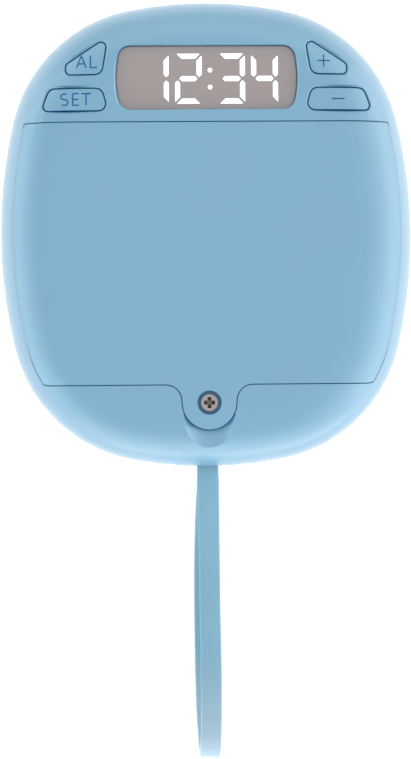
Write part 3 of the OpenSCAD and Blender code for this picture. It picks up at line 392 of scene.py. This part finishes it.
EDGE = {
    "rear_housing": 0.12 * MM, "front_housing": 0.15 * MM, "battery_door": 0.15 * MM,
    "alarm_button": 0.12 * MM, "set_button": 0.12 * MM, "plus_button": 0.12 * MM, "minus_button": 0.12 * MM,
}
sleeve_right = cell_sleeve("cell_sleeve_right", 1)
sleeve_left = cell_sleeve("cell_sleeve_left", -1)
OWN_MATERIAL = {
    "battery_door": door_plastic,
    "battery_cell_top": sleeve_right, "battery_cell_bottom": sleeve_right, "battery_cell_middle": sleeve_left,
}
for part in frame["record"]["subparts"]:
    part_name = part["node"]
    part_material = OWN_MATERIAL.get(part_name) or MATERIALS[part["material_slot"]]
    dress(part_name, part_material, EDGE.get(part_name, 0.0))


# Swept pieces
def smooth_path(points, steps):
    """Catmull-Rom curve through the points, with that many steps between two of them."""
    pts = [Vector(p) * MM for p in points]
    out = []
    for i in range(len(pts) - 1):
        p0, p1, p2, p3 = pts[max(i - 1, 0)], pts[i], pts[i + 1], pts[min(i + 2, len(pts) - 1)]
        for k in range(steps):
            t = k / steps
            out.append(0.5 * (2 * p1 + (p2 - p0) * t + (2 * p0 - 5 * p1 + 4 * p2 - p3) * t ** 2
                              + (3 * p1 - p0 - 3 * p2 + p3) * t ** 3))
    return out + [pts[-1]]


def add_piece(name, bm, sharp, material, body):
    """Makes an object of the closed mesh, smooth up to sharp degrees, that rides on the body."""
    bmesh.ops.recalc_face_normals(bm, faces=bm.faces)
    for face in bm.faces:
        face.smooth = True
    mesh = bpy.data.meshes.new(name)
    bm.to_mesh(mesh)
    bm.free()
    mesh.set_sharp_from_angle(angle=math.radians(sharp))
    mesh.materials.append(material)
    obj = bpy.data.objects.new(name, mesh)
    bpy.context.scene.collection.objects.link(obj)
    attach(obj, body)
    return obj


def close_rings(bm, rings):
    """Faces between each ring and the next, and a face at each end."""
    count = len(rings[0])
    for one, two in zip(rings, rings[1:]):
        for k in range(count):
            bm.faces.new((one[k], one[(k + 1) % count], two[(k + 1) % count], two[k]))
    bm.faces.new(rings[0])
    bm.faces.new(list(reversed(rings[-1])))


SWEEP_SHARP = 60


def sweep(name, path, section, first, material, body, up=None):
    """A closed tube of the section along the path. first is the section's first axis at the start, or
    up gives the section's second axis at each point."""
    bm = bmesh.new()
    across = first.copy() if first else None
    rings = []
    for i, p in enumerate(path):
        ahead = (path[min(i + 1, len(path) - 1)] - path[max(i - 1, 0)]).normalized()
        if up:
            across = up[i].cross(ahead)
        across = (across - ahead * across.dot(ahead)).normalized()
        rise = ahead.cross(across)
        rings.append([bm.verts.new(p + across * a + rise * b) for a, b in section])
    close_rings(bm, rings)
    return add_piece(name, bm, SWEEP_SHARP, material, body)


def round_section(diameter, sides):
    """Points of a circle, anticlockwise."""
    turns = [2 * math.pi * k / sides for k in range(sides)]
    return [(diameter / 2 * math.cos(turn), diameter / 2 * math.sin(turn)) for turn in turns]


CORNER_STEPS = 4


def band_section(width, thick, radius):
    """Rectangle with rounded corners, anticlockwise."""
    out = []
    for k, (sx, sy) in enumerate(((1, 1), (-1, 1), (-1, -1), (1, -1))):
        for i in range(CORNER_STEPS + 1):
            turn = math.pi / 2 * (k + i / CORNER_STEPS)
            x = sx * (width / 2 - radius) + radius * math.cos(turn)
            y = sy * (thick / 2 - radius) + radius * math.sin(turn)
            out.append((x, y))
    return out


# Strap
STRAP_WIDTH = 4.2 * MM
STRAP_THICK = 1.5 * MM
STRAP_EDGE = 0.42 * MM
STRAP_ROUTE = [
    (0, -43.9, 14), (0, -46.5, 14), (0.1, -50, 13.8), (0.15, -56, 13.2),
    (0.2, -63, 12.6), (0.25, -70, 12.2), (0.3, -77, 12.1), (0.4, -84, 12.4),
    (0.4, -90, 12.9), (0.36, -95, 13.4), (0.3, -98.5, 13.6), (0.23, -101.2, 13), (0.16, -103.35, 11.3),
    (0.12, -104.7, 8.9), (0.1, -104.9, 6.2), (0.05, -103.95, 3.7), (-0.03, -102, 1.8), (-0.15, -99.3, 1),
    (-0.3, -95, 0.92), (-0.45, -88, 0.92), (-0.5, -81, 0.92), (-0.5, -74, 0.92), (-0.45, -67.5, 1.1),
    (-0.35, -62, 2), (-0.25, -57.5, 4.2), (-0.15, -54, 7), (-0.05, -51.2, 9.9), (0, -48.9, 11.9),
    (0, -46.5, 12.4), (0, -43.9, 12.4),
]
STRAP_STEPS = 5
strap_path = smooth_path(STRAP_ROUTE, STRAP_STEPS)
strap = sweep("strap_band", strap_path, band_section(STRAP_WIDTH, STRAP_THICK, STRAP_EDGE),
              Vector((1, 0, 0)), MATERIALS["strap_silicone"], "case")
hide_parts("strap")
tuple(strap_path[0])
[tuple(p) for p in strap_path]

add_camera()

# Leads: diameter, slot and route in mm
LEAD_STEPS = 6
LEAD_SIDES = 16
LEAD_ACROSS = Vector((1, 0.3, 0))
LEADS = {
    "battery_wire_red": (1.2, "wire_red", [
        (25.8, 14.8, 11.2), (25.8, 14.8, 9.8), (25, 17, 8.8), (23.5, 21, 9.2), (22.5, 23.8, 11.5),
        (22, 24.6, 14.5), (22, 24.6, 16.7)]),
    "battery_wire_black": (1.2, "wire_black", [
        (-25.8, -7.2, 11.2), (-25.8, -7.2, 9.8), (-25.4, -3, 8.8), (-25, 8, 8.6), (-24.2, 18, 9),
        (-23, 23.2, 11.3), (-22.4, 24.6, 14.5), (-22.4, 24.6, 16.7)]),
    "motor_lead_red": (1.0, "wire_red", [
        (-25.4, -19.35, 11.5), (-26.4, -19.35, 11.5), (-27.2, -18, 9.8), (-24, -10, 8), (-19, 4, 7.6),
        (-16, 16, 8.2), (-14.6, 22.8, 11), (-14.2, 24.6, 14.5), (-14.2, 24.6, 16.7)]),
    "motor_lead_black": (1.0, "wire_black", [
        (-25.4, -27.35, 11.5), (-26.4, -27.35, 11.5), (-27, -25, 8.6), (-25.5, -16, 6.6), (-23, -8, 6),
        (-17, 6, 6), (-13, 16, 7), (-10.9, 22.6, 10.6), (-10.4, 24.6, 14.5), (-10.4, 24.6, 16.7)]),
}
for lead_name, (lead_width, lead_slot, lead_route) in LEADS.items():
    lead_section = round_section(lead_width * MM, LEAD_SIDES)
    lead = sweep(lead_name + "_sleeve", smooth_path(lead_route, LEAD_STEPS), lead_section, LEAD_ACROSS,
                 MATERIALS[lead_slot], "case")
    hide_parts(lead_name)


# Side rests of the door
SIDE_SEAM = 24.539 * MM
REST_FOOT = 0.25 * MM
REST_RISE = 0.19 * MM
REST_PROUD = 0.01 * MM
REST_WIDTH = 0.5 * MM
REST_RUN_OUT = 4 * MM
REST_STEPS = 60
REST_LOW_Y = -25 * MM
REST_HIGH_Y = 20.6 * MM
REST_SOLE = -0.05 * MM
REST_LEAST = 0.1 * MM
REST_SHARP = 30
WALL_UNDER = 0.02 * MM
FAR_OUT = 60 * MM


def surface_tree(node_name):
    """Search tree of a CAD node's surface."""
    mesh = nodes[node_name].data
    return BVHTree.FromPolygons([v.co for v in mesh.vertices], [p.vertices for p in mesh.polygons])


def side_rest(name, way):
    """A low rib that carries the slope of the side wall on up to the door's edge: it closes most of the seam.

    It runs out towards its lower end. way is 1 on the right and -1 on the left.
    """
    tree = surface_tree("rear_housing")
    rings = []
    bm = bmesh.new()
    for k in range(REST_STEPS + 1):
        y = REST_LOW_Y + (REST_HIGH_Y - REST_LOW_Y) * k / REST_STEPS
        starts = [Vector((way * FAR_OUT, y, SIDE_SEAM - drop)) for drop in (WALL_UNDER, REST_FOOT)]
        top, foot = [abs(tree.ray_cast(start, Vector((-way, 0, 0)))[0].x) for start in starts]
        slope = (foot - top) / (REST_FOOT - WALL_UNDER)
        rise = REST_RISE * min(1, max(y - REST_LOW_Y, REST_LEAST) / REST_RUN_OUT)
        edge = top + REST_PROUD - slope * (rise + WALL_UNDER)
        corners = [(foot + REST_PROUD, -REST_FOOT), (edge, rise), (edge - REST_WIDTH, rise),
                   (edge - REST_WIDTH, REST_SOLE)]
        rings.append([bm.verts.new((way * x, y, SIDE_SEAM + z)) for x, z in corners])
    close_rings(bm, rings)
    add_piece(name, bm, REST_SHARP, rest_plastic, "case")


side_rest("side_rest_left", -1)
side_rest("side_rest_right", 1)

# Key marks
MARK_WIDTH = 0.28 * MM
MARK_RISE = 0.03 * MM
MARK_STEP = 0.25 * MM
MARK_CROWN = 0.6
FAR_UP = 100 * MM


def surface_under(carrier):
    """A function that gives the point and the upward normal of the carrier's top at a place."""
    tree = surface_tree(carrier)

    def drop(x, y):
        hit, normal, _, _ = tree.ray_cast(Vector((x, y, FAR_UP)), Vector((0, 0, -1)))
        return hit, normal if normal.z > 0 else -normal
    return drop


def mark(name, carrier, body, strokes, centre, height):
    """Fine painted strokes on a key. Strokes are polylines about the mark's centre, in shares of its height.
    centre and height are in mm."""
    drop = surface_under(carrier)
    w, r = MARK_WIDTH / 2, MARK_RISE
    section = [(w, -r), (w, 0.0), (MARK_CROWN * w, r), (-MARK_CROWN * w, r), (-w, 0.0), (-w, -r)]
    for i, stroke in enumerate(strokes):
        flat = [Vector((centre[0] + x * height, centre[1] + y * height)) * MM for x, y in stroke]
        dense = []
        for a, b in zip(flat, flat[1:]):
            count = max(1, round((b - a).length / MARK_STEP))
            dense += [a.lerp(b, k / count) for k in range(count)]
        dense.append(flat[-1])
        hits = [drop(p.x, p.y) for p in dense]
        sweep(f"{name}_{i}", [h for h, _ in hits], section, None, mark_paint, body,
              up=[n for _, n in hits])


ARC_STEPS = 10


def arc(cx, cy, rx, ry, start, end):
    """Points of an arc between two angles in degrees."""
    turns = [math.radians(start + (end - start) * k / ARC_STEPS) for k in range(ARC_STEPS + 1)]
    return [(cx + rx * math.cos(turn), cy + ry * math.sin(turn)) for turn in turns]


LETTER_S = arc(0, 0.25, 0.31, 0.25, 50, 270) + arc(0, -0.25, 0.31, 0.25, 90, -130)[1:]
LETTER_E = [[(0.27, 0.5), (-0.26, 0.5), (-0.26, -0.5), (0.27, -0.5)], [(-0.26, 0.0), (0.21, 0.0)]]
LETTER_T = [[(-0.42, 0.5), (0.42, 0.5)], [(0, 0.5), (0, -0.5)]]
LETTER_A = [[(-0.4, -0.5), (0, 0.5), (0.38, -0.5)], [(-0.27, -0.17), (0.25, -0.17)]]
LETTER_L = [[(-0.25, 0.5), (-0.25, -0.5), (0.28, -0.5)]]


def placed(strokes, dx):
    """The strokes of a letter, moved along the line."""
    return [[(x + dx, y) for x, y in stroke] for stroke in strokes]


WORD_SET = placed([LETTER_S], -0.93) + placed(LETTER_E, 0.05) + placed(LETTER_T, 0.94)
WORD_AL = placed(LETTER_A, -0.5) + placed(LETTER_L, 0.47)
MINUS = [[(-0.5, 0), (0.5, 0)]]
PLUS = MINUS + [[(0, -0.5), (0, 0.5)]]
mark("mark_set", "set_button", "set_key", WORD_SET, (-25.54, 25.7), 2.25)
mark("mark_alarm", "alarm_button", "alarm_key", WORD_AL, (-23.07, 33.1), 2.42)
mark("mark_plus", "plus_button", "plus_key", PLUS, (22.83, 33.15), 2.45)
mark("mark_minus", "minus_button", "minus_key", MINUS, (25.55, 25.65), 2.5)


# Studio
STUDIO_CENTRE = Vector((0, -20, 20)) * MM
PANEL_REACH = 500 * MM
PANEL_LENGTH = 900 * MM
WAYS = {
    "left": Vector((-1, 0, 0)), "right": Vector((1, 0, 0)),
    "front": Vector((0, -1, 0)), "back": Vector((0, 1, 0)),
}
TOP_HEIGHT = 1000 * MM
TOP_Y = -30 * MM
TOP_RADIANCE = 1.17
CARD_HEIGHT = 1 * MM
WORLD_STRENGTH = 0.68
PAPER_COLOUR = (0.93, 0.93, 0.93, 1)
PAPER_GLOW = 0.47
PAPER_SIZE = 6
PAPER_CELLS = 4


def light_panel(name, place, target, size, radiance, matt, gloss):
    """A rectangular panel that looks equally bright from every side. matt and gloss say whether it lights
    matt colour and whether it shows in the sheen."""
    data = bpy.data.lights.new(name, "AREA")
    data.shape = "RECTANGLE"
    data.size, data.size_y = size
    data.energy = radiance * math.pi * size[0] * size[1]
    light = bpy.data.objects.new(name, data)
    light.location = place
    light.rotation_euler = (Vector(target) - Vector(place)).to_track_quat("-Z", "Y").to_euler()
    light.visible_diffuse = matt
    light.visible_glossy = gloss
    light.visible_camera = False
    bpy.context.scene.collection.objects.link(light)


def wall_panel(side, low, high, radiance, matt=False):
    """A panel on one side of the studio, between two heights in degrees above the clock."""
    middle = math.radians((low + high) / 2)
    tall = 2 * PANEL_REACH * math.tan(math.radians((high - low) / 2))
    place = STUDIO_CENTRE + (WAYS[side] * math.cos(middle) + Vector((0, 0, math.sin(middle)))) * PANEL_REACH
    kind = "matt" if matt else "sheen"
    light_panel(f"{kind}_{side}_{low}", place, STUDIO_CENTRE, (PANEL_LENGTH, tall), radiance, matt, not matt)


# Panels that show in the sheen of the plastic, and after them the ones that light its colour
for side_name, from_degrees, to_degrees, glow in (
        ("left", 0, 15, 1.95), ("left", 15, 30, 1.6), ("left", 30, 45, 0.72), ("left", 43, 63, 0.1),
        ("right", 0, 15, 2.3), ("right", 15, 30, 2.25), ("right", 30, 45, 1.33), ("right", 43, 63, 0.8),
        ("front", 0, 15, 1.8), ("front", 15, 30, 1.1), ("front", 30, 45, 0.32),
        ("back", 5, 25, 0.55), ("back", 25, 50, 0.94)):
    wall_panel(side_name, from_degrees, to_degrees, glow)
wall_panel("right", 0, 34, 0.26, matt=True)
wall_panel("front", 0, 34, 0.88, matt=True)
light_panel("matt_top", (0, TOP_Y, TOP_HEIGHT), (0, TOP_Y, 0), (PANEL_LENGTH, PANEL_LENGTH), TOP_RADIANCE,
            True, False)

# Cards low beside the clock face up, and show only in the sheen of its rim
for card_name, card_x, card_y, card_size, card_glow in (
        ("left", -160 * MM, -10 * MM, (200 * MM, 340 * MM), 0.35),
        ("right", 160 * MM, -10 * MM, (200 * MM, 340 * MM), 0.58),
        ("front", 0, -200 * MM, (340 * MM, 200 * MM), 1.8)):
    light_panel("card_" + card_name, (card_x, card_y, CARD_HEIGHT), (card_x, card_y, 1), card_size, card_glow,
                False, True)

world = bpy.data.worlds.new("studio")
bpy.context.scene.world = world
world.use_nodes = True
world.node_tree.nodes["Background"].inputs["Color"].default_value = (1, 1, 1, 1)
world.node_tree.nodes["Background"].inputs["Strength"].default_value = WORLD_STRENGTH

bpy.ops.mesh.primitive_grid_add(x_subdivisions=PAPER_CELLS, y_subdivisions=PAPER_CELLS, size=PAPER_SIZE)
floor = bpy.context.object
floor.name = "floor"
paper = plastic("floor_paper", PAPER_COLOUR, 0.8, spread=0.004, grain_scale=800)
paper_bsdf = paper.node_tree.nodes["Principled BSDF"]
paper_bsdf.inputs["Emission Color"].default_value = (1, 1, 1, 1)
paper_bsdf.inputs["Emission Strength"].default_value = PAPER_GLOW
paper.cycles.emission_sampling = "FRONT_BACK"
floor.data.materials.append(paper)

bpy.context.scene.view_settings.view_transform = "Standard"
